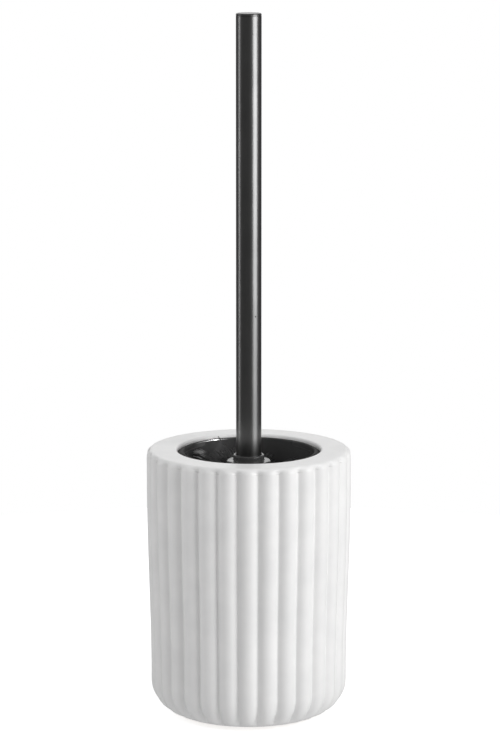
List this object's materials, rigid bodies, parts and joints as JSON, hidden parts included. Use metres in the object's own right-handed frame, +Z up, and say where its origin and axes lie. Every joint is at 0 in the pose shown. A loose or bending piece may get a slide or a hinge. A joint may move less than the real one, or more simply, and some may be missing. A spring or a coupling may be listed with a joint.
{
  "type": "toilet brush holder",
  "caption": "Ribbed white ceramic toilet brush holder with a black plastic liner and a brush on a straight gunmetal tube handle.",
  "frame": {"origin": "on the floor under the middle of the holder, at the underside of its foot pads", "axes": "+Z up along the handle's axis, -Y towards the front; the holder looks the same from all round"},
  "size_m": [0.1, 0.1, 0.3436],
  "materials": {
    "white_glaze": "satin matt white glaze",
    "foot_foam": "fine closed-cell foam",
    "liner_black": "glossy moulded black",
    "head_black": "glossy moulded black",
    "bristle_black": "black filaments",
    "seal_rubber": "matt black rubber",
    "gunmetal_steel": "satin gunmetal coating on steel",
    "gunmetal_cap": "satin gunmetal",
    "insert_grey": "moulded dark grey"
  },
  "bodies": {
    "holder": {"ceramic_holder": "white_glaze", "foot_pad_1": "foot_foam", "foot_pad_2": "foot_foam", "foot_pad_3": "foot_foam", "foot_pad_4": "foot_foam"},
    "liner": {"liner_cup": "liner_black"},
    "brush": {"head_core": "head_black", "tuft_row_01": "bristle_black", "tuft_row_02": "bristle_black", "tuft_row_03": "bristle_black", "tuft_row_04": "bristle_black", "tuft_row_05": "bristle_black", "tuft_row_06": "bristle_black", "tuft_row_07": "bristle_black", "tuft_row_08": "bristle_black", "tuft_row_09": "bristle_black", "tuft_row_10": "bristle_black", "tuft_row_11": "bristle_black", "tuft_row_12": "bristle_black", "tuft_end": "bristle_black"},
    "seal": {"seal_ring": "seal_rubber"},
    "handle": {"handle_tube": "gunmetal_steel", "handle_end_cap": "gunmetal_cap", "threaded_insert": "insert_grey"}
  },
  "joints": [
    {"name": "liner_lift", "type": "slide", "parent": "holder", "child": "liner", "axis": [0, 0, 1], "range_m": [0, 0.118]},
    {"name": "brush_lift", "type": "slide", "parent": "liner", "child": "brush", "axis": [0, 0, 1], "range_m": [0, 0.116]},
    {"name": "handle_rise", "type": "slide", "parent": "brush", "child": "seal", "axis": [0, 0, 1], "range_m": [0, 0.01]},
    {"name": "handle_turn", "type": "hinge", "parent": "seal", "child": "handle", "pos_m": [0, 0, 0.125], "axis": [0, 0, 1], "range_deg": [0, 1800]}
  ],
  "couplings": [
    {"joint": "handle_turn", "follows": "handle_rise", "rad_per_m": 3141.6}
  ]
}
